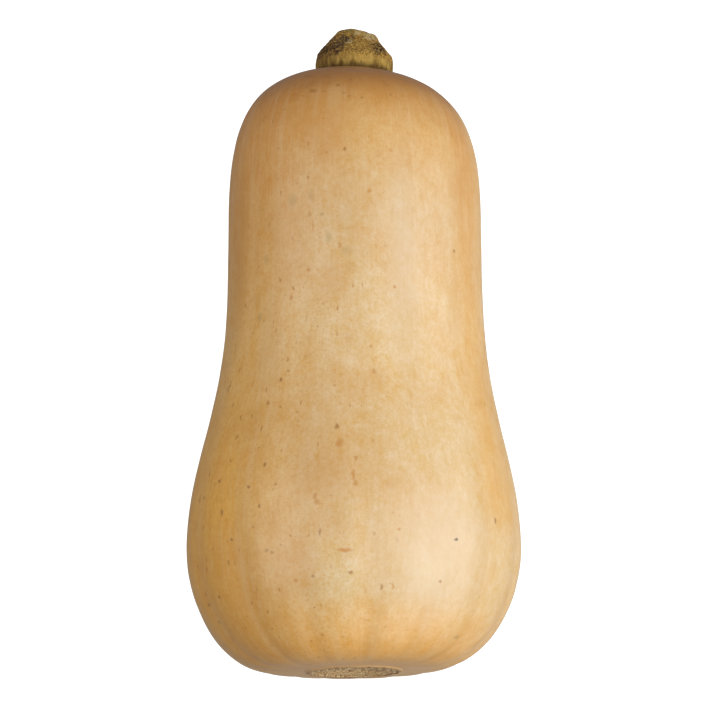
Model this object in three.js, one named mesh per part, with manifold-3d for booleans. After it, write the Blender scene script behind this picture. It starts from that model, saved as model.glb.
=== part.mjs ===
// A butternut squash lying on its side: the fruit, with the corky scar of its blossom, and the trimmed stem.
// Millimetres, +Z up. The stem points along +Y and the blossom end faces -Y.
// Both are shaped upright, with +Z along the fruit's axis, and are then laid down together.

import * as THREE from 'three';
import { mergeVertices } from 'three/addons/utils/BufferGeometryUtils.js';
import Module from 'manifold-3d';

const { degToRad, lerp, smoothstep } = THREE.MathUtils;

// The fruit's outline: a radius, and a height along the axis from the blossom end
const bulbRadius = 57.5;
const bulbHeight = 42;
const neckRadius = 44.8;
const neckHeight = 125;
const neckTaper = 1.3;
const fruitLength = 210.5;
const baseRadius = 26.7;
const baseBulge = 0.4;
const crownRadius = 10.7;
const crownDrop = 3.1;

// How far each curve of the outline keeps its direction before it turns into the next one
const baseReach = 20.4;
const bulbReachDown = 17.2;
const bulbReachUp = 28.8;
const neckReachDown = 39.2;
const neckReachUp = 51.3;
const crownReach = 39.9;

// The blossom scar: a shallow saucer with a narrow groove round it
const scarRadius = 16;
const scarDish = 0.4;
const grooveWidth = 1.6;
const grooveDepth = 0.5;

// The fruit grew a little crooked: both ends slope, and the neck drifts to one side
const crownSlope = 0.048;
const crownSlopeLength = 109;
const baseSlopeAcross = 0.019;
const baseSlopeUp = 0.02;
const baseSlopeLength = 55;
const neckDrift = 0.5;

// Faint ribs run from the scar to the crown, deepest low on the bulb
const ribCount = 15;
const ribDepth = 0.5;
const neckRibShare = 0.35;
const ribStart = degToRad(-83);
const ribTwist = degToRad(-14);
const meanValley = 3 / 8;

// The flat spots that the fruit rests on
const flatDepth = 1.2;
const flatEdge = 0.4;

// The stem stub before it was trimmed, with heights from the fruit's crown
const stemRadius = 13.35;
const stemHeight = 23;
const stemOffset = 0.25;
const stemSunk = 3;
const stemBulgeHeight = 4.5;
const stemTopRadius = 10.5;
const stemFluteCount = 10;
const stemFluteDepth = 0.3;
const stemGap = 0.3;

// What the knife left of the stem: a slanting outline across it, and one along it
const acrossCut = [
  at(stemRadius, 8.4),
  at(8.1, 14.4),
  at(7.1, 16),
  at(3.6, 17.5),
  at(-1.2, 18.5),
  at(-5.4, 17.7),
  at(-stemRadius, 9.2),
];
const alongCut = [at(stemRadius, 9), at(6, 18.5), at(0.5, 19.8), at(-4, 18.4), at(-stemRadius, 6)];
const acrossLean = degToRad(19);
const alongTurn = degToRad(98);

// Faces round the fruit and the stem
const fruitSegments = 72;
const stemSegments = 60;

const skin = new THREE.MeshStandardMaterial({ color: '#dcb078', roughness: 0.45, metalness: 0 });
const cork = new THREE.MeshStandardMaterial({ color: '#8a7338', roughness: 0.85, metalness: 0 });

// A point of an outline: a radius and a height.
function at(radius, height) {
  return new THREE.Vector2(radius, height);
}

// Points spaced evenly along a curve, without its last one, which the next curve starts with.
function steps(curve, count) {
  return curve.getSpacedPoints(count).slice(0, -1);
}

// The scar's saucer, its groove and the rest of the base, from the axis outwards.
function baseOutline() {
  const rim = at(scarRadius, -baseBulge);
  const groove = at(scarRadius + grooveWidth / 2, grooveDepth - baseBulge);
  const outside = at(scarRadius + grooveWidth, -baseBulge / 2);
  const centre = at(0, scarDish - baseBulge);
  const saucer = new THREE.QuadraticBezierCurve(centre, at(scarRadius * 0.7, centre.y), rim);
  const apron = new THREE.LineCurve(outside, at(baseRadius, 0));
  return [...steps(saucer, 8), rim, groove, ...steps(apron, 4)];
}

// The whole outline of the fruit, from the blossom end's centre to the crown's.
function fruitOutline() {
  const base = at(baseRadius, 0);
  const bulb = at(bulbRadius, bulbHeight);
  const neck = at(neckRadius, neckHeight);
  const crown = at(crownRadius, fruitLength);
  const lean = neckTaper / neckReachDown;
  const belly = new THREE.CubicBezierCurve(
    base,
    at(baseRadius + baseReach, 0),
    at(bulbRadius, bulbHeight - bulbReachDown),
    bulb,
  );
  const waist = new THREE.CubicBezierCurve(
    bulb,
    at(bulbRadius, bulbHeight + bulbReachUp),
    at(neckRadius + neckTaper, neckHeight - neckReachDown),
    neck,
  );
  const shoulder = new THREE.CubicBezierCurve(
    neck,
    at(neckRadius - lean * neckReachUp, neckHeight + neckReachUp),
    at(crownRadius + crownReach, fruitLength - crownDrop),
    crown,
  );
  return [
    ...baseOutline(),
    ...steps(belly, 13),
    ...steps(waist, 12),
    ...steps(shoulder, 20),
    crown,
    at(crownRadius / 2, fruitLength),
    at(0, fruitLength),
  ];
}

// How far an outline reaches sideways when its axis is tipped by an angle.
function reach(outline, tilt) {
  return Math.max(...outline.map((point) => point.x * Math.cos(tilt) + point.y * Math.sin(tilt)));
}

// The tilt at which the bulb and the neck touch the floor together, found by halving.
function restingTilt(outline) {
  const waistHeight = (bulbHeight + neckHeight) / 2;
  const bulb = outline.filter((point) => point.y < waistHeight);
  const neck = outline.filter((point) => point.y >= waistHeight);
  let low = 0;
  let high = Math.PI / 6;
  for (let round = 0; round < 30; round += 1) {
    const middle = (low + high) / 2;
    if (reach(bulb, middle) > reach(neck, middle)) low = middle;
    else high = middle;
  }
  return low;
}

// How far the ribs lift or lower the skin at an angle round the axis, a radius and a height.
function ribRelief(angle, radius, height) {
  const phase = ribCount * (angle - ribStart - (ribTwist * height) / fruitLength);
  const valley = (0.5 + 0.5 * Math.cos(phase)) ** 2;
  const share = lerp(1, neckRibShare, smoothstep(height, bulbHeight / 2, neckHeight));
  const clearOfScar = smoothstep(radius, scarRadius + grooveWidth, bulbRadius);
  return ribDepth * (meanValley - valley) * share * clearOfScar;
}

// Moves a point of the upright fruit to where the crooked growth took it.
function growCrooked(point) {
  const baseShare = 1 - smoothstep(point.z, 0, baseSlopeLength);
  const crownShare = smoothstep(point.z, fruitLength - crownSlopeLength, fruitLength);
  const baseShift = baseShare * (baseSlopeAcross * point.x + baseSlopeUp * point.y);
  const crownShift = crownShare * crownSlope * point.x;
  const drift = neckDrift * smoothstep(point.z, bulbHeight, neckHeight);
  return point.add(new THREE.Vector3(drift, 0, baseShift - crownShift));
}

// A height above the floor, softly held at or above zero.
function pressedHeight(height) {
  if (height > flatEdge) return height;
  if (height < -flatEdge) return 0;
  return (height + flatEdge) ** 2 / (4 * flatEdge);
}

// Moves each vertex of a geometry by a rule that takes its position and its normal.
function reshape(geometry, rule) {
  const positions = geometry.getAttribute('position');
  const normals = geometry.getAttribute('normal');
  const point = new THREE.Vector3();
  const normal = new THREE.Vector3();
  for (let index = 0; index < positions.count; index += 1) {
    point.fromBufferAttribute(positions, index);
    normal.fromBufferAttribute(normals, index);
    const moved = rule(point, normal);
    positions.setXYZ(index, moved.x, moved.y, moved.z);
  }
  geometry.computeVertexNormals();
  return geometry;
}

// An outline turned round the +Z axis.
function turned(outline, segments) {
  return new THREE.LatheGeometry(outline, segments).rotateX(Math.PI / 2);
}

// The fruit, with its ribs, its crooked growth and the flat spots that lie on the floor plane.
function fruitGeometry(outline, floor) {
  return reshape(turned(outline, fruitSegments), (point, normal) => {
    const angle = Math.atan2(point.y, point.x);
    const relief = ribRelief(angle, Math.hypot(point.x, point.y), point.z);
    growCrooked(point.addScaledVector(normal, relief));
    const height = floor.distanceToPoint(point);
    return point.addScaledVector(floor.normal, pressedHeight(height) - height);
  });
}

// A closed geometry as a solid that can be cut.
function toSolid(geometry) {
  const bare = geometry.clone();
  bare.deleteAttribute('normal');
  bare.deleteAttribute('uv');
  const merged = mergeVertices(bare, 1e-4);
  return new wasm.Manifold(
    new wasm.Mesh({
      numProp: 3,
      vertProperties: merged.getAttribute('position').array,
      triVerts: new Uint32Array(merged.index.array),
    }),
  );
}

// A solid as a geometry that can be shown.
function toGeometry(solid) {
  const mesh = solid.getMesh();
  const geometry = new THREE.BufferGeometry();
  geometry.setAttribute('position', new THREE.BufferAttribute(mesh.vertProperties, 3));
  geometry.setIndex(new THREE.BufferAttribute(mesh.triVerts, 1));
  geometry.computeVertexNormals();
  return geometry;
}

// The uncut stub: a bulging foot that narrows upwards, with shallow flutes.
function stubGeometry() {
  const flank = new THREE.SplineCurve([
    at(stemRadius - 0.6, -stemSunk),
    at(stemRadius, stemBulgeHeight),
    at(stemRadius - 0.5, stemHeight / 2),
    at(stemTopRadius, stemHeight),
  ]);
  const outline = [at(0, -stemSunk), ...flank.getSpacedPoints(14), at(0, stemHeight + 1)];
  return reshape(turned(outline, stemSegments), (point) => {
    const angle = Math.atan2(point.y, point.x);
    const radius = Math.hypot(point.x, point.y);
    const flute = stemFluteDepth * Math.cos(stemFluteCount * angle) * Math.cos(angle * 2 + 1);
    const stretch = radius > 0 ? 1 + flute / stemRadius : 1;
    return point.set(point.x * stretch, point.y * stretch, point.z);
  });
}

// The room that a trimmed outline leaves, as a block that lies across the axis.
function trimBlock(cut) {
  const below = -stemSunk - 1;
  const outside = stemRadius + 2;
  const depth = 4 * stemRadius;
  const right = cut[0];
  const left = cut[cut.length - 1];
  const shape = new THREE.Shape([
    at(-outside, below),
    at(outside, below),
    at(outside, right.y),
    ...cut,
    at(-outside, left.y),
  ]);
  const block = new THREE.ExtrudeGeometry(shape, { depth, bevelEnabled: false });
  return block.translate(0, 0, -depth / 2).rotateX(Math.PI / 2);
}

// The stem: the stub trimmed by both sets of cuts, with a foot that follows the fruit's crown.
function stemGeometry(fruit) {
  const raisedFruit = toSolid(fruit).translate([0, 0, stemGap]);
  const trimmed = toSolid(stubGeometry())
    .intersect(toSolid(trimBlock(acrossCut).rotateX(acrossLean)))
    .intersect(toSolid(trimBlock(alongCut).rotateZ(alongTurn)))
    .translate([stemOffset, 0, fruitLength]);
  return toGeometry(trimmed.subtract(raisedFruit));
}

// A named piece with its material.
function piece(name, geometry, material) {
  const mesh = new THREE.Mesh(geometry, material);
  mesh.name = name;
  return mesh;
}

const wasm = await Module();
wasm.setup();

// The floor, seen from the upright fruit: its side turns down, and its axis dips by the resting tilt.
const outline = fruitOutline();
const tilt = restingTilt(outline);
const lift = reach(outline, tilt) - flatDepth;
const floor = new THREE.Plane(new THREE.Vector3(0, -Math.cos(tilt), -Math.sin(tilt)), lift);

const fruit = fruitGeometry(outline, floor);
const lying = new THREE.Group();
lying.add(piece('fruit', fruit, skin), piece('stem', stemGeometry(fruit), cork));
lying.rotation.x = -(Math.PI / 2 + tilt);
lying.position.z = lift;

// The origin is on the floor, under the middle of the whole squash.
const squash = new THREE.Group();
squash.add(lying);
const middle = new THREE.Box3().setFromObject(squash, true).getCenter(new THREE.Vector3());
squash.position.set(-middle.x, -middle.y, 0);

export default squash;
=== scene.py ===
import logging
import math
from dataclasses import dataclass
from enum import Enum
from typing import NamedTuple, Optional, Sequence, Union

import bpy
import numpy as np
from mathutils import Euler, Matrix, Vector, noise


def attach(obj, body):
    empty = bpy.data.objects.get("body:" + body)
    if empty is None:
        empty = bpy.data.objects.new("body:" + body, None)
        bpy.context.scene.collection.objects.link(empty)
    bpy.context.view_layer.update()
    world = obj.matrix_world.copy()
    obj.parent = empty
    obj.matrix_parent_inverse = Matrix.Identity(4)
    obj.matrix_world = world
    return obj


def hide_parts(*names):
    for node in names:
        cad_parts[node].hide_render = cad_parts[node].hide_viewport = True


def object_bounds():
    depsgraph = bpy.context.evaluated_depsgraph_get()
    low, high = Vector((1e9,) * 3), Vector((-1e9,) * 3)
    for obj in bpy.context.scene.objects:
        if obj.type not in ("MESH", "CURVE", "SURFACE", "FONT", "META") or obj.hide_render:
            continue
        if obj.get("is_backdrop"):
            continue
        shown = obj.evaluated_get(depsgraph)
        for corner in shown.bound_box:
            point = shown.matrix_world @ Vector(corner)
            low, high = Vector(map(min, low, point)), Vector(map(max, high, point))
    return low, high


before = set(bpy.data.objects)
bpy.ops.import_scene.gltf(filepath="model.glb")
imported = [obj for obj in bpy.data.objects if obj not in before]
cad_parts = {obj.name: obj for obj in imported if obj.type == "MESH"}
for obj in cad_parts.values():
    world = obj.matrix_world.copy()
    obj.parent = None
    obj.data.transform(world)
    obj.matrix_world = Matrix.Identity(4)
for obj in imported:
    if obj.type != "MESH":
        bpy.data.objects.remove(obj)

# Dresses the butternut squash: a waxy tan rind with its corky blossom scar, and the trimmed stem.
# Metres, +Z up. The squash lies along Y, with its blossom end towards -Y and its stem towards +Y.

LOG = logging.getLogger("squash")
CAD_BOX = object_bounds()
MM = 0.001
FRUIT_LENGTH = 210.5 * MM

Colour = tuple[float, float, float]
Socket = bpy.types.NodeSocket
Value = Union[Socket, float]
Span = tuple[float, float]
Triple = tuple[float, float, float]


class Part(Enum):
    """The CAD nodes of the squash, by name."""

    FRUIT = "fruit"
    STEM = "stem"


class Slot(Enum):
    """The material slots of the record."""

    SKIN = "skin"
    CORK = "cork"


@dataclass(frozen=True)
class GrowthAxis:
    """The line that the squash grew round, from the blossom end to the stem.

    In the upright frame +Z runs along this line, +X is the squash's right and +Y is its lower side.
    """

    tilt: float = math.radians(6.173)
    blossom_end: Triple = (-0.146 * MM, -113.212 * MM, 61.069 * MM)

    def turn(self) -> Matrix:
        """Returns the rotation that takes a lying direction to the upright frame."""
        return Euler((math.pi / 2 + self.tilt, 0, 0)).to_matrix()

    def upright(self, points: np.ndarray) -> np.ndarray:
        """Takes lying points to the upright frame.

        Args:
            points: one row of x, y and z for each point, in metres.

        Returns:
            The same points, with z as the height above the blossom end.
        """
        return (points - np.array(self.blossom_end)) @ np.array(self.turn()).T

    def offset(self) -> Vector:
        """Returns what is added after the turn, to put the blossom end at zero."""
        return -(self.turn() @ Vector(self.blossom_end))


def activate(piece: bpy.types.Object) -> None:
    """Selects one object alone and makes it the active one.

    Args:
        piece: the object to work on next.
    """
    bpy.ops.object.select_all(action="DESELECT")
    piece.select_set(True)
    bpy.context.view_layer.objects.active = piece


def merged_copy(part: Part, name: str) -> bpy.types.Object:
    """Copies a CAD node and merges its loose triangles into a closed mesh of quads.

    Args:
        part: the node to copy.
        name: the new piece's name.

    Returns:
        The new piece, with no material yet.
    """
    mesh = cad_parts[part.value].data.copy()
    mesh.materials.clear()
    piece = bpy.data.objects.new(name, mesh)
    bpy.context.scene.collection.objects.link(piece)
    activate(piece)
    bpy.ops.object.mode_set(mode="EDIT")
    bpy.ops.mesh.select_all(action="SELECT")
    bpy.ops.mesh.remove_doubles(threshold=0.02 * MM)
    bpy.ops.mesh.tris_convert_to_quads(face_threshold=math.radians(40), shape_threshold=math.radians(60))
    bpy.ops.object.mode_set(mode="OBJECT")
    return piece


def subdivide(piece: bpy.types.Object, levels: int) -> None:
    """Smooths a piece and cuts its faces smaller.

    Args:
        piece: the object to refine.
        levels: how many times each face is cut into four.
    """
    activate(piece)
    finer = piece.modifiers.new("finer", "SUBSURF")
    finer.levels = finer.render_levels = levels
    bpy.ops.object.modifier_apply(modifier=finer.name)


def vertex_vectors(piece: bpy.types.Object, name: str = "co") -> np.ndarray:
    """Reads one vector of each vertex.

    Args:
        piece: the object to read.
        name: "co" for the places or "normal" for the normals.

    Returns:
        One row of x, y and z for each vertex.
    """
    flat = np.empty(len(piece.data.vertices) * 3)
    piece.data.vertices.foreach_get(name, flat)
    return flat.reshape(-1, 3)


def move_vertices(piece: bpy.types.Object, points: np.ndarray) -> None:
    """Puts the piece's vertices at new points."""
    piece.data.vertices.foreach_set("co", points.ravel())
    piece.data.update()


def paint(piece: bpy.types.Object, name: str, values: np.ndarray) -> None:
    """Stores one number for each vertex, under a name that a material can read."""
    attribute = piece.data.attributes.new(name, "FLOAT", "POINT")
    attribute.data.foreach_set("value", values.astype(np.float32))


def smoothstep(values: np.ndarray, low: float, high: float) -> np.ndarray:
    """Returns 0 below low, 1 above high and a smooth rise between them."""
    share = np.clip((values - low) / (high - low), 0, 1)
    return share * share * (3 - 2 * share)


def cloud(points: np.ndarray, size: float, seed: float, detail: int = 2) -> np.ndarray:
    """Gives a smooth random number between about -1 and 1 for each point.

    Args:
        points: one row of x, y and z for each point.
        size: the width of the lumps, in the points' own units.
        seed: moves the pattern, so that two clouds differ.
        detail: how many finer layers are added.

    Returns:
        One number for each point.
    """
    shift = Vector((seed, seed * 1.7, seed * 2.3))
    return np.array([noise.fractal(Vector(p) / size + shift, 0.6, 2.0, detail) for p in points])


class ShaderGraph:
    """Builds one material's nodes and wires them up."""

    def __init__(self, name: str) -> None:
        """Starts a material with a Principled shader.

        Args:
            name: the material's name.
        """
        self.material = bpy.data.materials.new(name)
        self.material.use_nodes = True
        self.tree = self.material.node_tree
        self.shader = self.tree.nodes["Principled BSDF"]

    def node(self, kind: str, inputs: dict[Union[str, int], object], **settings: object) -> bpy.types.Node:
        """Adds a node.

        Args:
            kind: the node's type, without its ShaderNode prefix.
            inputs: what each input gets, a socket to link or a plain value.
            settings: the node's own properties.

        Returns:
            The new node.
        """
        made = self.tree.nodes.new("ShaderNode" + kind)
        for key, value in settings.items():
            setattr(made, key, value)
        for key, value in inputs.items():
            if isinstance(value, Socket):
                self.tree.links.new(value, made.inputs[key])
            else:
                made.inputs[key].default_value = value
        return made

    def math(self, operation: str, first: Value, second: Value = 0.0) -> Socket:
        """Returns the result of one arithmetic step."""
        return self.node("Math", {0: first, 1: second}, operation=operation).outputs[0]

    def plus(self, first: Value, second: Value) -> Socket:
        """Returns the sum of two numbers."""
        return self.math("ADD", first, second)

    def times(self, first: Value, second: Value) -> Socket:
        """Returns the product of two numbers."""
        return self.math("MULTIPLY", first, second)

    def vector(self, operation: str, first: object, second: object = (0, 0, 0)) -> Socket:
        """Returns the vector result of one vector step."""
        return self.node("VectorMath", {0: first, 1: second}, operation=operation).outputs[0]

    def scaled(self, vector: Socket, factors: Sequence[float]) -> Socket:
        """Returns a vector with each axis stretched by its own factor."""
        return self.vector("MULTIPLY", vector, tuple(factors))

    def component(self, vector: Socket, axis: int) -> Socket:
        """Returns a vector's x, y or z, for axis 0, 1 or 2."""
        return self.node("SeparateXYZ", {0: vector}).outputs[axis]

    def length(self, vector: Socket) -> Socket:
        """Returns a vector's length."""
        return self.node("VectorMath", {0: vector}, operation="LENGTH").outputs["Value"]

    def oval(self, place: Socket, middle: Span, half_sizes: Span) -> Socket:
        """Returns 0 in the middle of an oval in x and y, 1 on its edge and more outside it.

        Args:
            place: the point that is measured.
            middle: the oval's middle, in metres.
            half_sizes: half its width and half its height, in metres.

        Returns:
            The distance from the middle, in shares of the oval's own size.
        """
        stretch = (1 / half_sizes[0], 1 / half_sizes[1], 0)
        shift = (-middle[0] * stretch[0], -middle[1] * stretch[1], 0)
        spot = self.node("VectorMath", {0: place, 1: stretch, 2: shift}, operation="MULTIPLY_ADD")
        return self.length(spot.outputs[0])

    def band(self, value: Value, low: float, high: float, top: float = 1.0) -> Socket:
        """Gives a smooth rise, or a smooth fall where low is the larger limit.

        Args:
            value: the number that is read.
            low: where the result is 0.
            high: where the result is at its top.
            top: the largest result.

        Returns:
            A number from 0 to the top.
        """
        limits = {"From Min": low, "From Max": high, "To Max": top}
        if low > high:
            limits = {"From Min": high, "From Max": low, "To Min": top, "To Max": 0.0}
        return self.node("MapRange", {"Value": value, **limits}, interpolation_type="SMOOTHSTEP").outputs[0]

    def spread(self, value: Socket, low: float, high: float) -> Socket:
        """Returns a straight rise from 0 at low to 1 at high."""
        return self.node("MapRange", {"Value": value, "From Min": low, "From Max": high}).outputs[0]

    def noise(self, vector: Socket, scale: float, detail: float = 2.0, roughness: float = 0.5) -> Socket:
        """Returns a soft random value round 0.5."""
        inputs = {"Vector": vector, "Scale": scale, "Detail": detail, "Roughness": roughness}
        return self.node("TexNoise", inputs).outputs["Fac"]

    def shaken(self, vector: Socket, reach: float, scale: float) -> Socket:
        """Returns a flat vector moved about at random, by up to a reach in x and in y."""
        wobble = self.node("TexNoise", {"Vector": vector, "Scale": scale, "Detail": 3.0}).outputs["Color"]
        return self.vector("ADD", vector, self.scaled(wobble, (reach, reach, 0)))

    def mix(self, base: object, top: object, share: Value, blend: str = "MIX") -> Socket:
        """Returns a colour laid over another one."""
        return self.node("Mix", {0: share, 6: base, 7: top}, data_type="RGBA", blend_type=blend).outputs[2]

    def ramp(self, share: Socket, length: float, stops: Sequence[tuple[float, Colour]]) -> Socket:
        """Returns a colour that runs through a row of stops.

        Args:
            share: the place along the row, from 0 to 1.
            length: what the stops' distances are divided by.
            stops: the distance and the colour of each stop.

        Returns:
            The colour at the share.
        """
        made = self.node("ValToRGB", {0: share})
        elements = made.color_ramp.elements
        elements.remove(elements[1])
        elements[0].position = stops[0][0] / length
        elements[0].color = rgba(stops[0][1])
        for distance, colour in stops[1:]:
            elements.new(distance / length).color = rgba(colour)
        return made.outputs[0]

    def paint(self, name: str) -> Socket:
        """Returns the number that a piece carries under a name."""
        return self.node("Attribute", {}, attribute_name=name).outputs["Fac"]

    def upright(self, axis: GrowthAxis) -> Socket:
        """Turns the object's coordinates to the upright frame.

        Args:
            axis: the line that the squash grew round.

        Returns:
            The point that is shaded, in the upright frame.
        """
        place = self.node("TexCoord", {}).outputs["Object"]
        inputs = {"Vector": place, "Location": axis.offset(), "Rotation": axis.turn().to_euler()}
        return self.node("Mapping", inputs, vector_type="POINT").outputs[0]

    def bump(self, height: Socket, strength: float, distance: float) -> Socket:
        """Returns the normal of a surface that a height raises by up to a distance."""
        return self.node("Bump", {"Strength": strength, "Distance": distance, "Height": height}).outputs[0]

    def finish(self, colour: Socket, roughness: Value, normal: Socket) -> bpy.types.Material:
        """Gives the shader its colour, roughness and relief.

        Args:
            colour: the base colour.
            roughness: a socket or a plain number.
            normal: the bumpy normal.

        Returns:
            The finished material.
        """
        self.tree.links.new(colour, self.shader.inputs["Base Color"])
        if isinstance(roughness, Socket):
            self.tree.links.new(roughness, self.shader.inputs["Roughness"])
        else:
            self.shader.inputs["Roughness"].default_value = roughness
        self.tree.links.new(normal, self.shader.inputs["Normal"])
        return self.material


def rgba(colour: Colour) -> tuple[float, float, float, float]:
    """Adds full opacity to a colour."""
    return (*colour, 1.0)


@dataclass(frozen=True)
class SkinMap:
    """Flat coordinates of the rind: the way round from its upper side, and the way up.

    The way up is the height, and goes on inward over the crown and towards the blossom end.
    """

    girth_radius: float = 50 * MM
    crown_radius: float = 41 * MM
    crown_height: float = 150 * MM
    base_radius: float = 54 * MM
    base_height: float = 50 * MM

    def unroll(self, graph: ShaderGraph, place: Socket) -> Socket:
        """Returns the way round as x and the way up as y, with a seam on the lower side.

        Args:
            graph: the material's nodes.
            place: the point in the upright frame.

        Returns:
            The flat coordinates, in metres.
        """
        height = graph.component(place, 2)
        angle = graph.math("ARCTAN2", graph.component(place, 0), graph.times(graph.component(place, 1), -1.0))
        radius = graph.length(graph.scaled(place, (1, 1, 0)))
        over = graph.math("MAXIMUM", graph.math("SUBTRACT", self.crown_radius, radius), 0.0)
        over = graph.times(over, graph.math("GREATER_THAN", height, self.crown_height))
        under = graph.math("MAXIMUM", graph.math("SUBTRACT", self.base_radius, radius), 0.0)
        under = graph.times(under, graph.math("LESS_THAN", height, self.base_height))
        along = graph.math("SUBTRACT", graph.plus(height, over), under)
        return graph.node("CombineXYZ", {0: graph.times(angle, self.girth_radius), 1: along}).outputs[0]


class Fade(NamedTuple):
    """A smooth change along a value: where it starts, where it is full, and how strong it is there."""

    start: float
    full: float
    strength: float = 1.0


@dataclass(frozen=True)
class Pattern:
    """A soft random pattern: how its noise is made, and where the noise shows."""

    scale: float
    detail: float
    roughness: float
    fade: Fade
    stretch: Triple = (1, 1, 1)

    def mask(self, graph: ShaderGraph, vector: Socket) -> Socket:
        """Returns the pattern's strength at each point, and 0 between its patches."""
        value = graph.noise(graph.scaled(vector, self.stretch), self.scale, self.detail, self.roughness)
        return graph.band(value, *self.fade)


@dataclass(frozen=True)
class Scatter:
    """Round spots scattered on the rind, one at most in each cell of a loose grid.

    The spacing is a cell's width and the radius is the largest spot's, in metres. The share says how
    many cells hold a spot, and the edge how much of a spot's radius is soft. The shift keeps two
    patterns apart, and a stretch below 1 makes the spots longer on its axis.
    """

    spacing: float
    radius: float
    share: float
    edge: float
    strength: float = 1.0
    shift: Triple = (0, 0, 0)
    stretch: Triple = (1, 1, 1)

    def mask(self, graph: ShaderGraph, skin: Socket) -> Socket:
        """Spreads the spots over the rind.

        Args:
            graph: the material's nodes.
            skin: the flat coordinates that the pattern is read at.

        Returns:
            The strength on a spot and 0 elsewhere.
        """
        place = graph.scaled(graph.vector("ADD", skin, self.shift), self.stretch)
        inputs = {"Vector": place, "Scale": 1 / self.spacing}
        cells = graph.node("TexVoronoi", inputs, voronoi_dimensions="2D")
        draw = graph.node("SeparateColor", {0: cells.outputs["Color"]}).outputs[0]
        largest = self.radius / self.spacing
        sizes = {"Value": draw, "From Min": 1 - self.share, "To Min": 0.01 * largest, "To Max": largest}
        size = graph.node("MapRange", sizes).outputs[0]
        gap = graph.math("DIVIDE", cells.outputs["Distance"], size)
        return graph.band(gap, 1.0, 1 - self.edge, self.strength)


@dataclass(frozen=True)
class BlossomScar:
    """The corky oval scar at the blossom end: a shallow dish with a whorl of ridges in it."""

    middle: Span = (0.0, 2.4 * MM)
    half_width: float = 16.3 * MM
    half_height: float = 18.7 * MM
    highest: float = 12 * MM
    depth: float = 1.3 * MM
    ridge_spacing: float = 2.2 * MM
    ridge_height: float = 0.4 * MM
    line_spacing: float = 0.85 * MM
    rim_width: float = 0.05
    rim_height: float = 0.2 * MM

    def share(self, upright: np.ndarray) -> np.ndarray:
        """Returns 0 at the scar's middle, 1 on its rim and more outside it.

        Args:
            upright: one row of x, y and z for each point, in the upright frame.

        Returns:
            One number for each point, and a large one for points on the rest of the fruit.
        """
        across = (upright[:, 0] - self.middle[0]) / self.half_width
        down = (upright[:, 1] - self.middle[1]) / self.half_height
        return np.where(upright[:, 2] < self.highest, np.hypot(across, down), 9.0)

    def ridges(self, upright: np.ndarray, share: np.ndarray) -> np.ndarray:
        """Works out the wavy whorl of ridges.

        Args:
            upright: points on the scar, in the upright frame.
            share: what the share method says of them.

        Returns:
            0 in the grooves and 1 on the ridges.
        """
        warp = 0.8 * MM * cloud(upright, 3.5 * MM, 1.3, 2) + 1.6 * MM * cloud(upright, 13 * MM, 5.9, 1)
        wave = np.sin((share * self.half_width + warp) * 2 * math.pi / self.ridge_spacing)
        return 0.5 + 0.5 * wave


class MarkTone(Enum):
    """The colours of the marks on the rind."""

    BLEACHED = (0.600, 0.465, 0.300)
    ORANGE = (0.500, 0.225, 0.045)
    GREY_GREEN = (0.400, 0.265, 0.090)
    BROWN = (0.320, 0.140, 0.030)
    BLACK = (0.040, 0.018, 0.008)


@dataclass(frozen=True)
class Mark:
    """One mark on the rind: degrees round from the upper side, and millimetres up the rind.

    The width and the length are half of the mark's own, in millimetres.
    """

    angle: float
    height: float
    width: float
    length: float
    strength: float = 0.85


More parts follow.
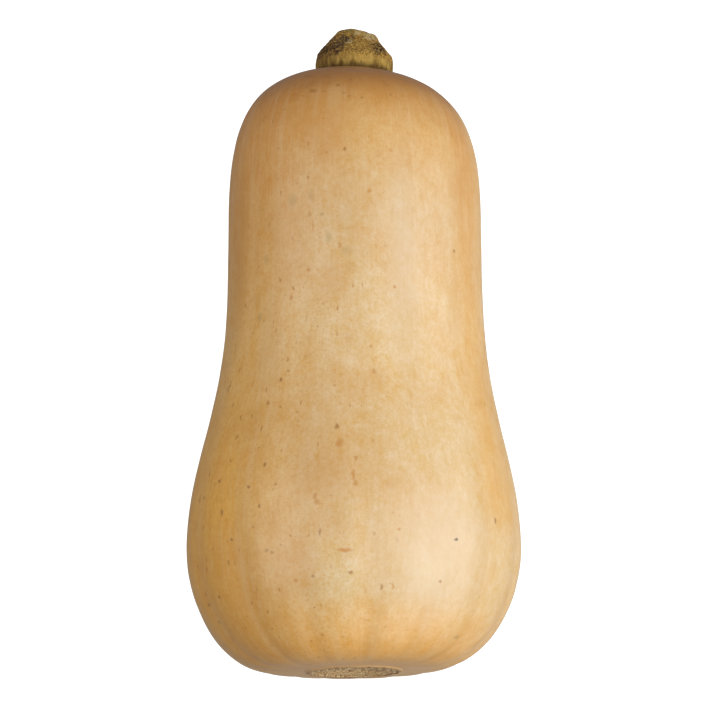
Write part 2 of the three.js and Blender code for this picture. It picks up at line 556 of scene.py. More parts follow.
# The marks that stand out: in each tone the wide faint stains first, then roughly from the crown down.
MARKS: dict[MarkTone, tuple[Mark, ...]] = {
    # Pale patches: the widest low on the right of the bulb, and a long one up the right of the neck.
    MarkTone.BLEACHED: (
        Mark(30, 32, 28, 38, 0.55), Mark(22, 130, 10, 70, 0.40), Mark(-38, 105, 9, 28, 0.14),
        Mark(24, 175, 10, 28, 0.10), Mark(50, 118, 8, 20, 0.12), Mark(62, 62, 8, 14, 0.14),
    ),
    MarkTone.ORANGE: (
        Mark(-10, 58, 16, 20, 0.35), Mark(-20, 28, 10, 20, 0.35), Mark(-13, 180, 14, 20, 0.40),
        Mark(-30, 136, 12, 26, 0.22), Mark(0, 98, 12, 26, 0.12), Mark(-62, 145, 10, 50, 0.50),
        Mark(-8, 126, 9, 12, 0.20), Mark(-9, 42, 12, 11, 0.25), Mark(9, 92, 6, 8, 0.20),
        Mark(54, 163, 8, 16, 0.25), Mark(10, 192, 3.2, 1.2, 0.4), Mark(29, 195, 3.0, 1.4, 0.5),
        Mark(-12, 171, 1.2, 1.2), Mark(17, 172, 1.4, 1.0, 0.6), Mark(7, 157, 1.2, 1.4),
        Mark(-18, 145, 0.5, 2.6), Mark(1, 144, 15.0, 0.4, 0.25), Mark(-20, 130, 1.2, 1.0),
        Mark(18, 124, 1.1, 1.1), Mark(-28, 121, 1.2, 2.0), Mark(63, 88, 0.8, 1.3), Mark(-5, 68, 2.2, 2.6),
        Mark(0, 57, 1.1, 3.2), Mark(-12, 48, 1.6, 2.0), Mark(15, 39, 0.9, 0.9), Mark(-3, 32, 3.4, 1.1),
        Mark(14, 20, 0.5, 2.2),
    ),
    MarkTone.GREY_GREEN: (
        Mark(-28, 155, 2.8, 3.8, 0.45), Mark(-19, 156, 1.7, 3.6, 0.40), Mark(-14, 149, 1.0, 1.1),
        Mark(-11, 141, 2.2, 3.6, 0.50), Mark(-3, 136, 3.8, 2.8, 0.35), Mark(-42, 136, 2.4, 3.0, 0.35),
        Mark(-45, 116, 2.0, 2.4, 0.50), Mark(52, -3, 3.4, 1.6, 0.6),
    ),
    MarkTone.BROWN: (
        Mark(-18, 210, 3.2, 1.5, 1.0), Mark(-15, 206, 1.8, 1.3), Mark(4, 213, 4.2, 1.4, 1.0),
        Mark(25, 208, 3.6, 1.4, 0.4), Mark(9, 206, 1.0, 0.9, 0.5), Mark(-8, 200, 1.6, 1.5),
        Mark(-21, 197, 2.8, 1.8), Mark(-25, 200, 1.2, 1.0, 0.5), Mark(-15, 196, 1.2, 1.0, 0.5),
        Mark(-5, 195, 1.3, 1.2, 0.6), Mark(-2, 193, 1.1, 1.0, 0.7), Mark(4, 192, 0.9, 0.9, 0.8),
        Mark(19, 195, 1.0, 1.1, 0.5), Mark(-48, 200, 1.4, 1.6, 0.7), Mark(-41, 195, 1.1, 1.4, 0.6),
        Mark(-4, 172, 0.9, 0.9), Mark(50, 140, 1.0, 1.0), Mark(-27, 95, 0.9, 1.0, 0.6),
        Mark(-30, 92, 0.8, 1.2), Mark(-62, 93, 1.4, 2.0, 0.6), Mark(-6, 74, 1.3, 1.7),
        Mark(-32, 62, 0.8, 1.2), Mark(-53, 59, 1.1, 1.1), Mark(-63, 55, 1.1, 0.9),
        Mark(-38, 55, 0.8, 0.9), Mark(-27, 55, 0.8, 0.9, 0.7), Mark(-50, 48, 0.9, 1.8),
        Mark(-33, 48, 0.8, 0.9), Mark(56, 46, 1.0, 1.5), Mark(-45, 38, 1.0, 1.0),
        Mark(-11, 38, 0.7, 2.0, 0.7), Mark(-30, 33, 1.2, 1.2, 0.6), Mark(-1, 25, 1.2, 1.0),
        Mark(-14, 24, 0.9, 1.0, 0.7), Mark(32, 23, 0.9, 0.9), Mark(10, 19, 0.8, 2.4, 0.7),
        Mark(-57, 20, 1.0, 1.2), Mark(-68, 18, 1.6, 1.4, 0.7), Mark(-66, 9, 1.5, 1.5, 0.7),
    ),
    MarkTone.BLACK: (Mark(36, 37, 0.8, 0.8),),
}


@dataclass(frozen=True)
class RindFinish:
    """The waxy tan rind, its marks, and the corky blossom scar.

    The tones run along the fruit: golden on the bulb, paler at the waist, brown at the crown. The
    fades are in metres: up the fruit, out from its axis for the base's reach, or round it from the
    upper side, with the left as negative.
    """

    axis: GrowthAxis
    tones: tuple[tuple[float, Colour], ...] = (
        (0 * MM, (0.770, 0.395, 0.080)),
        (20 * MM, (0.625, 0.470, 0.235)),
        (50 * MM, (0.628, 0.437, 0.202)),
        (95 * MM, (0.697, 0.495, 0.238)),
        (150 * MM, (0.585, 0.404, 0.188)),
        (180 * MM, (0.595, 0.348, 0.110)),
        (205 * MM, (0.445, 0.188, 0.026)),
    )
    golden: tuple[tuple[float, Colour], ...] = (
        (0 * MM, (0.540, 0.265, 0.047)),
        (50 * MM, (0.668, 0.340, 0.049)),
        (110 * MM, (0.696, 0.400, 0.111)),
        (180 * MM, (0.573, 0.263, 0.052)),
        (205 * MM, (0.405, 0.158, 0.022)),
    )
    ochre: Colour = (0.560, 0.280, 0.065)
    pale: Colour = (0.680, 0.500, 0.290)
    # Pale colour of the painted highlight on the right flank and the painted rim reflection at the left edge.
    painted_edge_light: Colour = (0.840, 0.570, 0.270)
    darker: Colour = (0.930, 0.790, 0.460)
    lighter: Colour = (1.060, 1.170, 1.560)
    # Dark brown of the crown, partly its own colour and partly painted shade where it turns from the light.
    dull_and_shade: Colour = (0.330, 0.125, 0.016)
    freckle: Colour = (0.340, 0.150, 0.030)
    blotch: Colour = (0.460, 0.210, 0.040)
    ashen: Colour = (0.680, 0.410, 0.190)
    scar_light: Colour = (0.680, 0.480, 0.230)
    scar_dark: Colour = (0.200, 0.080, 0.018)
    neck: Fade = Fade(35 * MM, 60 * MM, 0.7)
    crown: Fade = Fade(193 * MM, 208 * MM, 0.9)
    base: Fade = Fade(5 * MM, 0.0)
    base_reach: Fade = Fade(46 * MM, 28 * MM, 0.5)
    golden_left: Fade = Fade(2 * MM, -46 * MM)
    golden_left_end: Fade = Fade(-150 * MM, -100 * MM)
    # Painted shade: a saturated golden band on the right flank, between the sheen and the rim.
    painted_shade_right: Fade = Fade(38 * MM, 52 * MM)
    painted_shade_right_end: Fade = Fade(78 * MM, 56 * MM)
    # Painted light: a painted highlight up the right flank to its rim, and a painted rim reflection along the
    # left edge.
    painted_light_right: Fade = Fade(48 * MM, 72 * MM, 0.55)
    painted_rim_left: Fade = Fade(-60 * MM, -100 * MM, 0.55)
    grainy_side: Fade = Fade(40 * MM, -30 * MM)
    marked_side: Fade = Fade(50 * MM, -25 * MM, 0.9)
    clouds: Pattern = Pattern(24.0, 3.0, 0.6, Fade(0.42, 0.66, 0.28))
    broad_streaks: Pattern = Pattern(1.0, 2.0, 0.5, Fade(0.45, 0.70, 0.16), (9, 9, 14))
    pale_streaks: Pattern = Pattern(1.0, 3.0, 0.6, Fade(0.48, 0.70, 0.16), (50, 50, 90))
    ochre_streaks: Pattern = Pattern(1.0, 3.0, 0.6, Fade(0.50, 0.30, 0.14), (50, 50, 90))
    grains: Pattern = Pattern(900.0, 2.0, 0.7, Fade(0.50, 0.70, 0.55))
    flecks: Pattern = Pattern(300.0, 3.0, 0.7, Fade(0.54, 0.68, 0.5))
    thick: Pattern = Pattern(30.0, 2.0, 0.5, Fade(0.30, 0.55))
    stains: Pattern = Pattern(190.0, 4.0, 0.7, Fade(0.52, 0.66, 0.55))
    gloss: Pattern = Pattern(90.0, 3.0, 0.5, Fade(0.3, 0.7, 0.10))
    blotches: Scatter = Scatter(13 * MM, 3.6 * MM, 0.6, 0.95, 0.16)
    freckles: Scatter = Scatter(6 * MM, 0.85 * MM, 0.6, 0.5, 1.0, (0.7, 0.4, 0), (1, 0.6, 1))
    specks: Scatter = Scatter(9 * MM, 0.6 * MM, 0.5, 0.6, 0.6, (0.2, 0.9, 0))
    dashes: Scatter = Scatter(7 * MM, 0.5 * MM, 0.4, 0.6, 1.0, (0.5, 0.2, 0), (1, 0.3, 1))
    mark_edge: Span = (0.95, 0.15)
    # How far painted shade darkens the rib valleys.
    valley_shade_strength: float = 0.22
    ray_length: float = 16 * MM
    crown_wander: float = 0.25
    scar_wander: float = 0.14
    scar_edge: Fade = Fade(1.02, 0.97)
    scar_bend: float = 9 * MM
    scar_kink: float = 2.6 * MM
    scar_lines: Fade = Fade(-1.1, 0.2)
    scar_grooves: Fade = Fade(0.45, 0.0, 0.6)
    rim_strength: float = 0.75
    scatter_shake: float = 2 * MM
    mark_shake: float = 1.6 * MM
    roughness: float = 0.38
    scar_roughness: float = 0.4
    specular: float = 0.50
    coat: float = 0.25
    coat_roughness: float = 0.14
    streak_relief: float = 0.03
    pore_relief: float = 0.006
    cork_relief: float = 0.35
    skin_map: SkinMap = SkinMap()
    scar: BlossomScar = BlossomScar()

    def build(self) -> bpy.types.Material:
        """Returns the rind's material."""
        return RindGraph(self).build()


class RindGraph(ShaderGraph):
    """Lays the rind's colours over each other, from the ground tone up to the cork of the scar.

    The place is in the upright frame, and the skin holds the flat coordinates of the skin map. The
    grain has the direction from the axis as x and y and the height as z, for streaks along the fruit.
    """

    def __init__(self, look: RindFinish) -> None:
        """Starts the material with its coordinates and its ground tone.

        Args:
            look: the colours, the fades and the patterns.
        """
        super().__init__("rind")
        self.look = look
        self.place = self.upright(look.axis)
        self.skin = look.skin_map.unroll(self, self.place)
        self.height = self.component(self.place, 2)
        self.side = self.component(self.skin, 0)
        flat = self.scaled(self.place, (1, 1, 0))
        self.radius = self.length(flat)
        self.grain = self.vector("ADD", self.vector("NORMALIZE", flat), self.scaled(self.place, (0, 0, 1)))
        scar = look.scar
        self.scar_share = self.oval(self.place, scar.middle, (scar.half_width, scar.half_height))
        self.colour = self._ground_tone()

    def build(self) -> bpy.types.Material:
        """Lays all the layers on.

        Returns:
            The material.
        """
        look = self.look
        self._add_clouds()
        self._add_streaks()
        self._add_end_tones()
        self._add_scattered_marks()
        self._add_known_marks()
        scar = self._scar_mask()
        self.colour = self.mix(self.colour, self._scar_cork(), scar)
        smooth = self.plus(look.gloss.mask(self, self.place), look.roughness)
        self.shader.inputs["Specular IOR Level"].default_value = look.specular
        self.shader.inputs["Coat Weight"].default_value = look.coat
        self.shader.inputs["Coat Roughness"].default_value = look.coat_roughness
        roughness = self.plus(smooth, self.times(scar, look.scar_roughness))
        return self.finish(self.colour, roughness, self._relief(scar))

    def lay(self, top: Colour, share: Value) -> None:
        """Lays one more colour over the others."""
        self.colour = self.mix(self.colour, rgba(top), share)

    def _ground_tone(self) -> Socket:
        """Mixes the tones along the fruit: golden on the left, painted shade and painted light at the sides.

        Returns:
            The colour of the plain skin.
        """
        look, side = self.look, self.side
        share = self.math("DIVIDE", self.height, FRUIT_LENGTH)
        left = self.times(self.band(side, *look.golden_left), self.band(side, *look.golden_left_end))
        # Painted shade: the golden band on the right flank, from the top of the bulb upward.
        right = self.times(self.band(side, *look.painted_shade_right), self.band(side, *look.painted_shade_right_end))
        # The golden of the left flank, together with the painted shade band of the right flank.
        golden_and_shade = self.plus(left, self.times(right, self.band(self.height, *look.neck)))
        plain = self.ramp(share, FRUIT_LENGTH, look.tones)
        colour = self.mix(plain, self.ramp(share, FRUIT_LENGTH, look.golden), golden_and_shade)
        # Painted light: paler towards the right rim as painted highlight, and at the left edge as painted rim
        # reflection.
        below = self.plus(self.band(side, *look.painted_light_right), self.band(side, *look.painted_rim_left))
        return self.mix(colour, rgba(look.painted_edge_light), below)

    def _add_clouds(self) -> None:
        """Lays ochre clouds, a fine mottle, and painted shade in the rib valleys."""
        look = self.look
        self.lay(look.ochre, look.clouds.mask(self, self.place))
        lumps = self.noise(self.scaled(self.place, (1, 1, 0.8)), 140.0, 5.0, 1.0)
        mottle = self.mix(rgba(look.darker), rgba(look.lighter), self.spread(lumps, 0.32, 0.68))
        self.colour = self.mix(self.colour, mottle, 1.0, "MULTIPLY")
        # Painted shade: ochre laid along the rib valleys.
        self.lay(look.ochre, self.times(self.paint("valley"), look.valley_shade_strength))

    def _add_streaks(self) -> None:
        """Lays streaks along the fruit, and fine grains that thicken towards the left."""
        look = self.look
        self.lay(look.pale, look.broad_streaks.mask(self, self.grain))
        self.lay(look.pale, look.pale_streaks.mask(self, self.grain))
        self.lay(look.ochre, look.ochre_streaks.mask(self, self.grain))
        thick = self.band(self.side, *look.grainy_side)
        self.lay(look.ochre, self.times(look.grains.mask(self, self.place), thick))

    def _add_end_tones(self) -> None:
        """Lays ashen skin round the scar, and flecked dark brown skin at the crown, partly painted shade."""
        look = self.look
        rays = self.times(self.noise(self.scaled(self.grain, (14, 14, 20)), 1.0, 3.0), look.ray_length)
        near = self.band(self.plus(self.radius, rays), *look.base_reach)
        self.lay(look.ashen, self.times(self.band(self.height, *look.base), near))
        crown = self.band(self.plus(self.height, self.times(rays, look.crown_wander)), *look.crown)
        # Partly painted shade: the crown darkens where it turns away from the light.
        self.lay(look.dull_and_shade, crown)
        self.lay(look.scar_dark, self.times(look.flecks.mask(self, self.place), crown))

    def _add_scattered_marks(self) -> None:
        """Lays blotches, freckles, specks and thin dashes on the skin, thicker on the left."""
        look = self.look
        shaken = self.shaken(self.skin, look.scatter_shake, 500.0)
        left = self.band(self.side, *look.marked_side)
        dense = self.times(look.thick.mask(self, self.skin), left)
        self.lay(look.blotch, look.blotches.mask(self, shaken))
        self.lay(look.blotch, self.times(look.freckles.mask(self, shaken), dense))
        self.lay(look.freckle, self.times(look.specks.mask(self, shaken), left))
        self.lay(look.blotch, self.times(look.dashes.mask(self, self.skin), dense))

    def _add_known_marks(self) -> None:
        """Lays the marks that stand out on the skin, one by one."""
        shaken = self.shaken(self.skin, self.look.mark_shake, 600.0)
        mean_shake = self.look.mark_shake / 2
        for tone, marks in MARKS.items():
            covered: Optional[Socket] = None
            for mark in marks:
                across = math.radians(mark.angle) * self.look.skin_map.girth_radius + mean_shake
                along = mark.height * MM + mean_shake
                gap = self.oval(shaken, (across, along), (mark.width * MM, mark.length * MM))
                mask = self.band(gap, *self.look.mark_edge, mark.strength)
                covered = mask if covered is None else self.math("MAXIMUM", covered, mask)
            self.lay(tone.value, covered)

    def _scar_mask(self) -> Socket:
        """Finds the blossom scar, with a ragged edge.

        Returns:
            1 on the scar and 0 elsewhere.
        """
        look, highest = self.look, self.look.scar.highest
        uneven = self.math("SUBTRACT", self.noise(self.place, 260.0, 2.0), 0.5)
        inside = self.band(self.plus(self.scar_share, self.times(uneven, look.scar_wander)), *look.scar_edge)
        return self.times(inside, self.band(self.height, highest, 0.8 * highest))

    def _scar_cork(self) -> Socket:
        """Colours the khaki scar, with its fine wavy lines, dark grooves and brown stains.

        Returns:
            The colour of the cork.
        """
        look, dark = self.look, rgba(self.look.scar_dark)
        bend = self.times(self.noise(self.place, 170.0, 1.0), look.scar_bend)
        kink = self.times(self.noise(self.place, 480.0, 2.0), look.scar_kink)
        reach = self.plus(self.times(self.scar_share, look.scar.half_width), self.plus(bend, kink))
        wave = self.math("SINE", self.times(reach, 2 * math.pi / look.scar.line_spacing))
        cork = self.mix(dark, rgba(look.scar_light), self.band(wave, *look.scar_lines))
        cork = self.mix(cork, dark, self.band(self.paint("ridge"), *look.scar_grooves))
        cork = self.mix(cork, rgba(look.blotch), look.stains.mask(self, self.place))
        return self.mix(cork, dark, self.times(self.paint("rim"), look.rim_strength))

    def _relief(self, scar: Socket) -> Socket:
        """Raises faint streaks and pores on the skin, and rough cork on the scar.

        Args:
            scar: 1 on the scar and 0 elsewhere.

        Returns:
            The bumpy normal.
        """
        look = self.look
        streaks = self.noise(self.scaled(self.grain, (60, 60, 60)), 1.0, 3.0, 0.6)
        pores = self.noise(self.place, 900.0, 2.0)
        skin = self.plus(self.times(streaks, look.streak_relief), self.times(pores, look.pore_relief))
        cork = self.times(self.noise(self.place, 1500.0, 3.0, 0.7), self.times(scar, look.cork_relief))
        return self.bump(self.plus(skin, cork), 0.5, 1 * MM)


@dataclass(frozen=True)
class CorkFinish:
    """The dry corky stem, olive at its foot, with dark patches and pale fibres on its cut faces."""

    axis: GrowthAxis
    olive: Colour = (0.200, 0.105, 0.012)
    straw: Colour = (0.640, 0.410, 0.095)
    fibre: Colour = (0.380, 0.185, 0.022)
    # Brown for the specks on the cut faces, and for the painted shade on the stem's left.
    brown: Colour = (0.095, 0.036, 0.006)
    char: Colour = (0.045, 0.018, 0.006)
    fresh: Colour = (0.740, 0.570, 0.270)
    green: Colour = (0.230, 0.170, 0.040)
    # Colour of the painted shade at the foot, darker down to where it meets the fruit.
    join_shade: Colour = (0.075, 0.034, 0.004)
    cut_edge: Fade = Fade(6 * MM, 10.5 * MM)
    foot_shade: Fade = Fade(4.6 * MM, 2.0 * MM, 0.85)
    left_shade: Fade = Fade(0.0, -13 * MM, 0.45)
    straw_grain: Fade = Fade(0.36, 0.60, 0.8)
    straw_flecks: Fade = Fade(0.46, 0.58)
    brown_specks: Fade = Fade(0.48, 0.60, 0.9)
    char_flecks: Fade = Fade(0.53, 0.60, 0.9)
    fresh_grit: Fade = Fade(0.72, 0.36, 0.8)
    ridge_highlight_strength: float = 0.7
    moss_strength: float = 0.7
    edge_wander: float = 6 * MM
    shade_wander: float = 2 * MM
    relief: float = 1.2 * MM
    roughness: float = 0.75
    specular: float = 0.3

    def build(self) -> bpy.types.Material:
        """Builds the stem's material.

        Returns:
            The material.
        """
        graph = ShaderGraph("stem_cork")
        place = graph.vector("SUBTRACT", graph.upright(self.axis), (0, 0, FRUIT_LENGTH))
        height = graph.component(place, 2)
        long_grain = graph.noise(graph.scaled(place, (1, 1, 0.35)), 420.0, 4.0, 0.7)
        fine = graph.noise(place, 1400.0, 4.0, 0.85)
        grit = graph.noise(graph.vector("ADD", place, (0.3, 0.1, 0.2)), 1000.0, 4.0, 0.85)
        edge = graph.plus(height, graph.times(long_grain, self.edge_wander))
        cut = self._cut_faces(graph, fine, grit)
        colour = graph.mix(self._foot(graph, long_grain), cut, graph.band(edge, *self.cut_edge))
        colour = self._patched(graph, colour, fine, grit)
        # Painted shade: the stem's left side is laid browner and darker.
        colour = graph.mix(colour, rgba(self.brown), graph.band(graph.component(place, 0), *self.left_shade))
        shade = graph.plus(height, graph.times(long_grain, self.shade_wander))
        # Painted shade: the foot darkens down towards the fruit.
        colour = graph.mix(colour, rgba(self.join_shade), graph.band(shade, *self.foot_shade))
        rough = graph.plus(graph.times(fine, 0.5), graph.times(grit, 0.5))
        graph.shader.inputs["Specular IOR Level"].default_value = self.specular
        return graph.finish(colour, self.roughness, graph.bump(rough, 1.0, self.relief))

    def _foot(self, graph: ShaderGraph, long_grain: Socket) -> Socket:
        """Returns the olive of the foot, with straw along the grain, and straw on the ridges that is partly
        painted highlight.
        """
        foot = graph.mix(rgba(self.olive), rgba(self.straw), graph.band(long_grain, *self.straw_grain))
        # Partly painted highlight: straw laid on the raised ridges of the foot's upper side.
        return graph.mix(foot, rgba(self.straw), graph.times(graph.paint("ridge"), self.ridge_highlight_strength))

    def _cut_faces(self, graph: ShaderGraph, fine: Socket, grit: Socket) -> Socket:
        """Returns the straw of the cut faces, with fibres and brown specks."""
        cut = graph.mix(rgba(self.fibre), rgba(self.straw), graph.band(fine, *self.straw_flecks))
        return graph.mix(cut, rgba(self.brown), graph.band(grit, *self.brown_specks))

    def _patched(self, graph: ShaderGraph, colour: Socket, fine: Socket, grit: Socket) -> Socket:
        """Lays the mossy, charred and fresh patches that the stem is painted with on its cork.

        Args:
            graph: the material's nodes.
            colour: the colour so far.
            fine: the finest noise, which leaves pale flecks on the charred patches.
            grit: the coarser noise, which breaks up the fresh ones.

        Returns:
            The new colour.
        """
        colour = graph.mix(colour, rgba(self.green), graph.times(graph.paint("green"), self.moss_strength))
        burnt = graph.mix(rgba(self.char), rgba(self.straw), graph.band(fine, *self.char_flecks))
        colour = graph.mix(colour, burnt, graph.paint("char"))
        pale = graph.times(graph.paint("fresh"), graph.band(grit, *self.fresh_grit))
        return graph.mix(colour, rgba(self.fresh), pale)


@dataclass(frozen=True)
class FloorFinish:
    """The plain pale floor, which looks evenly white to the camera."""

    colour: Colour = (0.20, 0.20, 0.20)
    glow: float = 1.1
    glow_in_gloss: float = 0.05

    def build(self) -> bpy.types.Material:
        """Builds the floor's material.

        Returns:
            The material.
        """
        graph = ShaderGraph("floor")
        rays = graph.node("LightPath", {}).outputs
        seen = graph.times(rays["Is Camera Ray"], self.glow)
        mirrored = graph.times(rays["Is Glossy Ray"], self.glow_in_gloss)
        graph.tree.links.new(graph.plus(seen, mirrored), graph.shader.inputs["Emission Strength"])
        graph.shader.inputs["Emission Color"].default_value = (1, 1, 1, 1)
        graph.shader.inputs["Base Color"].default_value = rgba(self.colour)
        graph.shader.inputs["Roughness"].default_value = 1.0
        graph.shader.inputs["Specular IOR Level"].default_value = 0.0
        return graph.material


@dataclass(frozen=True)
class Ribs:
    """The faint lengthwise ribs, which are clear on the bulb and fade along the neck."""

    count: int = 15
    start: float = math.radians(-83)
    twist: float = math.radians(-14)
    depth: float = 0.35 * MM

    def valleys(self, upright: np.ndarray) -> np.ndarray:
        """Returns 1 in the middle of each valley and 0 between the valleys.

        Args:
            upright: one row of x, y and z for each point, in the upright frame.

        Returns:
            One number for each point, fading to 0 at the scar and on the neck.
        """
        radius = np.hypot(upright[:, 0], upright[:, 1])
        angle = np.arctan2(upright[:, 1], upright[:, 0])
        uneven = cloud(upright, 40 * MM, 12.5, 1)
        phase = self.count * (angle - self.start - self.twist * upright[:, 2] / FRUIT_LENGTH)
        valley = (0.5 + 0.5 * np.cos(phase + uneven)) ** 4
        low = 1 - smoothstep(upright[:, 2], 15 * MM, 70 * MM)
        return valley * low * smoothstep(radius, 17 * MM, 40 * MM) * (0.7 + 0.6 * uneven)


@dataclass
class Fruit:
    """The fruit, refined from the CAD solid, with the scar's ridges and small dents in the rind.

    The faces that are cut smaller for the ridges lie between two shares of the way to the scar's rim.
    """

    axis: GrowthAxis
    levels: int = 2
    scar: BlossomScar = BlossomScar()
    ribs: Ribs = Ribs()
    refined: Span = (0.25, 1.06)
    swell_size: float = 45 * MM
    swell_height: float = 0.35 * MM
    dent_size: float = 11 * MM
    dent_height: float = 0.07 * MM

    def build(self) -> bpy.types.Object:
        """Builds the dressed fruit.

        Returns:
            The piece, in place of the CAD node.
        """
        piece = merged_copy(Part.FRUIT, "squash_fruit")
        subdivide(piece, self.levels)
        self._refine_scar(piece)
        self._sculpt(piece)
        activate(piece)
        bpy.ops.object.shade_smooth()
        piece.data.materials.append(RindFinish(self.axis).build())
        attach(piece, "root")
        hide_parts(Part.FRUIT.value)
        return piece

    def _refine_scar(self, piece: bpy.types.Object) -> None:
        """Cuts the faces on the scar smaller, so that they can carry its ridges.

        Args:
            piece: the fruit.
        """
        share = self.scar.share(self.axis.upright(vertex_vectors(piece)))
        activate(piece)
        bpy.ops.object.mode_set(mode="EDIT")
        bpy.ops.mesh.select_mode(type="VERT")
        bpy.ops.mesh.select_all(action="DESELECT")
        bpy.ops.object.mode_set(mode="OBJECT")
        inner, outer = self.refined
        piece.data.vertices.foreach_set("select", (share > inner) & (share < outer))
        bpy.ops.object.mode_set(mode="EDIT")
        bpy.ops.mesh.select_mode(type="FACE")
        bpy.ops.mesh.subdivide(number_cuts=1)
        bpy.ops.object.mode_set(mode="OBJECT")

    def _sculpt(self, piece: bpy.types.Object) -> None:
        """Moves the vertices along their normals, and keeps the flat spots flat.

        Args:
            piece: the fruit, which also gets the valley paint that the rind's painted shade reads.
        """
        points = vertex_vectors(piece)
        upright = self.axis.upright(points)
        relief = self.swell_height * cloud(points, self.swell_size, 3.1, 1)
        relief += self.dent_height * cloud(points, self.dent_size, 7.7, 2)
        relief += self._scar_relief(piece, upright)
        valleys = self.ribs.valleys(upright)
        relief -= self.ribs.depth * valleys
        paint(piece, "valley", valleys)
        free = smoothstep(points[:, 2], 0.2 * MM, 4 * MM)
        moved = points + vertex_vectors(piece, "normal") * (relief * free)[:, None]
        moved[:, 2] = np.maximum(moved[:, 2], 0)
        move_vertices(piece, moved)

    def _scar_relief(self, piece: bpy.types.Object, upright: np.ndarray) -> np.ndarray:
        """Works out the scar's dish, rim and ridges, and paints them on the piece.

        Args:
            piece: gets the ridge and rim paint.
            upright: the vertices in the upright frame.

        Returns:
            How far each vertex rises.
        """
        scar = self.scar
        share = scar.share(upright)
        near = share < 1.2
        ridge = np.zeros(len(upright))
        ridge[near] = scar.ridges(upright[near], share[near])
        rim = np.exp(-(((share - 1.0) / scar.rim_width) ** 2))
        inside = 1 - smoothstep(share, 0.92, 1.02)
        paint(piece, "ridge", ridge)
        paint(piece, "rim", rim)
        dish = -scar.depth * np.clip(1 - share**2, 0, 1)
        return dish + inside * (ridge - 0.5) * scar.ridge_height + rim * scar.rim_height


@dataclass(frozen=True)
class Patch:
    """A soft-edged patch on the stem, round a point in millimetres above the middle of the crown."""

    centre: Triple
    size: float

    def cover(self, upright: np.ndarray, broken: np.ndarray) -> np.ndarray:
        """Returns how far the patch covers each point.

        Args:
            upright: the points, from the middle of the crown.
            broken: added to each point's distance, to break up the edge.

        Returns:
            1 inside the patch and 0 away from it.
        """
        gap = np.linalg.norm(upright - np.array(self.centre) * MM, axis=1) + broken
        return 1 - smoothstep(gap, 0.4 * self.size * MM, 1.2 * self.size * MM)


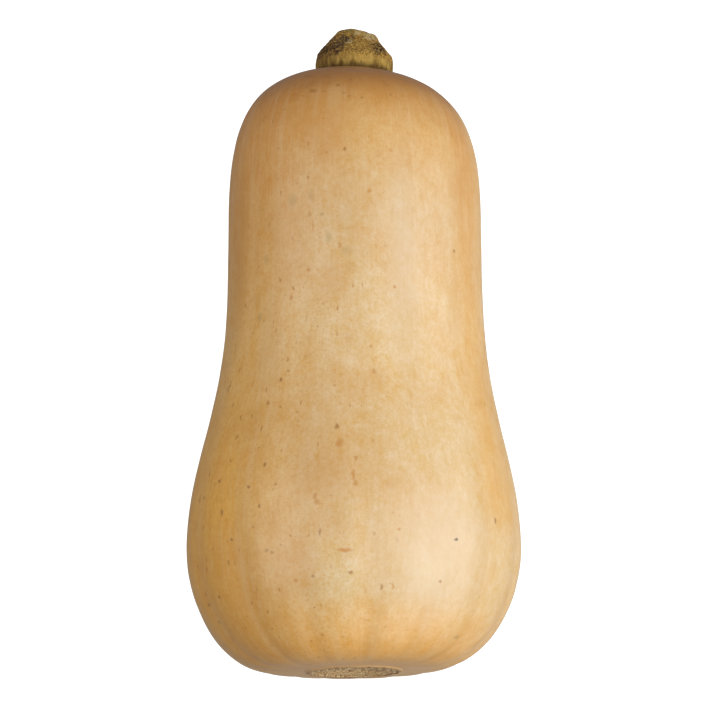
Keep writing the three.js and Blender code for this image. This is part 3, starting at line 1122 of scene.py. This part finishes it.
@dataclass
class Stem:
    """The trimmed stem, remeshed from the CAD solid, with ribs, fibres and corky patches.

    Each ridge is a place across the foot and a width, both in millimetres.
    """

    axis: GrowthAxis
    voxel: float = 0.42 * MM
    foot_end: Span = (7 * MM, 11 * MM)
    rib_width: float = 2.6 * MM
    rib_height: float = 0.35 * MM
    cork_width: float = 1.9 * MM
    cork_height: float = 0.22 * MM
    fibre_width: float = 0.9 * MM
    fibre_height: float = 0.18 * MM
    edge_wander: float = 2.0 * MM
    collar: float = 5.0 * MM
    collar_width: float = 2.6 * MM
    collar_height: float = 0.3 * MM
    lump_height: float = 0.45 * MM
    lump: Patch = Patch((7.4, -3.5, 14.8), 2.2)
    charred: tuple[Patch, ...] = (
        Patch((-6.0, -10.5, 9.5), 4.6),
        Patch((-10.5, -6.5, 9.5), 4.2),
        Patch((-3.0, -9.0, 13.0), 3.0),
        Patch((8.8, -9.4, 8.8), 3.1),
        Patch((0.0, 8.0, 16.0), 6.0),
        Patch((-11.0, 4.0, 11.0), 5.0),
    )
    pale: tuple[Patch, ...] = (
        Patch((6.2, -6.0, 14.8), 3.2),
        Patch((2.0, -5.0, 16.5), 2.2),
        Patch((-1.2, -9.8, 11.4), 1.0),
        Patch((5.0, 3.0, 16.5), 4.0),
    )
    mossy: tuple[Patch, ...] = (
        Patch((-2.0, -4.5, 17.0), 3.4),
        Patch((-6.0, 2.0, 16.0), 4.0),
    )
    ridges: tuple[Span, ...] = ((-1.5, 0.9), (3.4, 1.1), (5.8, 0.9), (9.6, 1.3), (-5.5, 0.8))

    def build(self) -> bpy.types.Object:
        """Builds the dressed stem.

        Returns:
            The piece, in place of the CAD node.
        """
        piece = merged_copy(Part.STEM, "squash_stem")
        self._remesh(piece)
        self._sculpt(piece)
        activate(piece)
        bpy.ops.object.shade_smooth()
        piece.data.materials.append(CorkFinish(self.axis).build())
        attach(piece, "root")
        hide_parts(Part.STEM.value)
        return piece

    def _remesh(self, piece: bpy.types.Object) -> None:
        """Gives the stem small even faces and takes the sharpness off its cuts.

        Args:
            piece: the stem.
        """
        activate(piece)
        even = piece.modifiers.new("even", "REMESH")
        even.mode = "VOXEL"
        even.voxel_size = self.voxel
        bpy.ops.object.modifier_apply(modifier=even.name)
        soft = piece.modifiers.new("soft", "SMOOTH")
        soft.factor = 0.5
        soft.iterations = 16
        bpy.ops.object.modifier_apply(modifier=soft.name)

    def _sculpt(self, piece: bpy.types.Object) -> None:
        """Raises uneven ribs round the foot, fibres on the cuts, and rough cork.

        Args:
            piece: the stem, which also gets the paint of its ridges and patches.
        """
        points = vertex_vectors(piece)
        upright = self.axis.upright(points) - np.array((0, 0, FRUIT_LENGTH))
        height = upright[:, 2]
        on_foot = 1 - smoothstep(height, *self.foot_end)
        ribs = cloud(upright * np.array((1, 1, 0.12)), self.rib_width, 2.2, 1)
        cork = cloud(upright, self.cork_width, 8.8, 3)
        fibres = cloud(upright * np.array((1, 1, 0.3)), self.fibre_width, 4.1, 2)
        broken = cloud(upright, self.edge_wander, 6.4, 3) * self.edge_wander
        char = self._covered(self.charred, upright, broken)
        ridge = self._straw_ridges(upright) * on_foot
        relief = self.rib_height * (0.6 * ribs * on_foot + ridge)
        relief += self.collar_height * np.exp(-(((height - self.collar) / self.collar_width) ** 2))
        relief += self.lump_height * self.lump.cover(upright, np.zeros(len(upright)))
        relief += self.cork_height * cork * (0.35 + 0.65 * char)
        relief += self.fibre_height * fibres * (1 - 0.5 * on_foot)
        above = smoothstep(height, 0.5 * MM, 2.5 * MM)
        move_vertices(piece, points + vertex_vectors(piece, "normal") * (relief * above)[:, None])
        paint(piece, "char", char)
        paint(piece, "ridge", ridge)
        paint(piece, "fresh", self._covered(self.pale, upright, broken * 0.8))
        paint(piece, "green", self._covered(self.mossy, upright, broken))

    def _covered(self, patches: Sequence[Patch], upright: np.ndarray, broken: np.ndarray) -> np.ndarray:
        """Returns how far any of the patches covers each point."""
        return np.max([patch.cover(upright, broken) for patch in patches], axis=0)

    def _straw_ridges(self, upright: np.ndarray) -> np.ndarray:
        """Finds the pale ridges that run up the upper side of the foot; their paleness is partly painted
        highlight.

        Args:
            upright: the points, from the middle of the crown.

        Returns:
            1 on a ridge and 0 elsewhere.
        """
        side = upright[:, 0] + cloud(upright, 5 * MM, 9.3, 1) * 0.8 * MM
        raised = [np.exp(-(((side / MM - place) / width) ** 2)) for place, width in self.ridges]
        fade = smoothstep(upright[:, 2], 1.5 * MM, 4.5 * MM)
        return np.max(raised, axis=0) * fade * (upright[:, 1] < 0)


@dataclass(frozen=True)
class SoftLight:
    """A square white softbox that points at the squash, from degrees across it and degrees along it."""

    name: str
    across: float
    along: float
    power: float
    size: float = 1.4
    distance: float = 1.5
    aim_height: float = 50 * MM

    def build(self) -> bpy.types.Object:
        """Adds the light to the scene.

        Returns:
            The light.
        """
        across, along = math.radians(self.across), math.radians(self.along)
        level = math.cos(along)
        way = Vector((math.sin(across) * level, math.sin(along), math.cos(across) * level))
        data = bpy.data.lights.new(self.name, "AREA")
        data.shape = "SQUARE"
        data.size = self.size
        data.energy = self.power
        light = bpy.data.objects.new(self.name, data)
        light.location = way * self.distance + Vector((0, 0, self.aim_height))
        light.rotation_euler = (-way).to_track_quat("-Z", "Y").to_euler()
        bpy.context.scene.collection.objects.link(light)
        return light


@dataclass
class Studio:
    """The pale floor, the soft lights and the camera above the squash."""

    floor_size: float = 8.0
    sky: float = 0.34
    elevation: float = math.radians(83)
    distance: float = 1.1
    aim: Triple = (0.0, -3.35 * MM, 50.6 * MM)
    sensor: float = 36.0
    lens: float = 160.7
    lights: tuple[SoftLight, ...] = (
        SoftLight("key", 30, 0, 11.6),
        SoftLight("side", 75, 0, 14.8),
        SoftLight("front", 70, -45, 9.4),
        SoftLight("left", -45, 0, 10.4),
    )

    def build(self) -> None:
        """Adds the floor, the lights, the sky and the camera."""
        self._add_floor()
        self._add_sky()
        self._add_camera()
        for light in self.lights:
            light.build()

    def _add_floor(self) -> None:
        """Adds the floor and marks it as stage."""
        bpy.ops.object.select_all(action="DESELECT")
        bpy.ops.mesh.primitive_plane_add(size=self.floor_size)
        floor = bpy.context.object
        floor.name = "floor"
        floor.data.materials.append(FloorFinish().build())
        floor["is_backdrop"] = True

    def _add_sky(self) -> None:
        """Sets an even white sky, and a plain view transform that keeps white as white."""
        world = bpy.data.worlds.new("sky")
        world.use_nodes = True
        world.node_tree.nodes["Background"].inputs["Color"].default_value = (1, 1, 1, 1)
        world.node_tree.nodes["Background"].inputs["Strength"].default_value = self.sky
        bpy.context.scene.world = world
        bpy.context.scene.view_settings.view_transform = "Standard"

    def _add_camera(self) -> None:
        """Adds the camera, which looks down from slightly in front of the blossom end."""
        data = bpy.data.cameras.new("camera")
        data.sensor_width = self.sensor
        data.lens = self.lens
        data.clip_start, data.clip_end = 0.05, 50
        camera = bpy.data.objects.new("camera", data)
        back = Vector((0, -math.cos(self.elevation), math.sin(self.elevation)))
        camera.location = Vector(self.aim) + back * self.distance
        camera.rotation_euler = (-back).to_track_quat("-Z", "Y").to_euler()
        bpy.context.scene.collection.objects.link(camera)
        bpy.context.scene.camera = camera


def main() -> None:
    """Builds the studio and the squash, and reports each piece."""
    logging.basicConfig(level=logging.INFO, format="%(message)s")
    axis = GrowthAxis()
    Studio().build()
    for maker in (Fruit(axis), Stem(axis)):
        piece = maker.build()
        piece.data.calc_loop_triangles()
        LOG.info("%s: %d triangles", piece.name, len(piece.data.loop_triangles))


def write_sizes() -> None:
    """Works out the CAD model's box and the dressed model's box."""
    boxes = {"cad": CAD_BOX, "visual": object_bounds()}
    plain = {name: [list(low), list(high)] for name, (low, high) in boxes.items()}


if __name__ == "__main__":
    main()
    write_sizes()
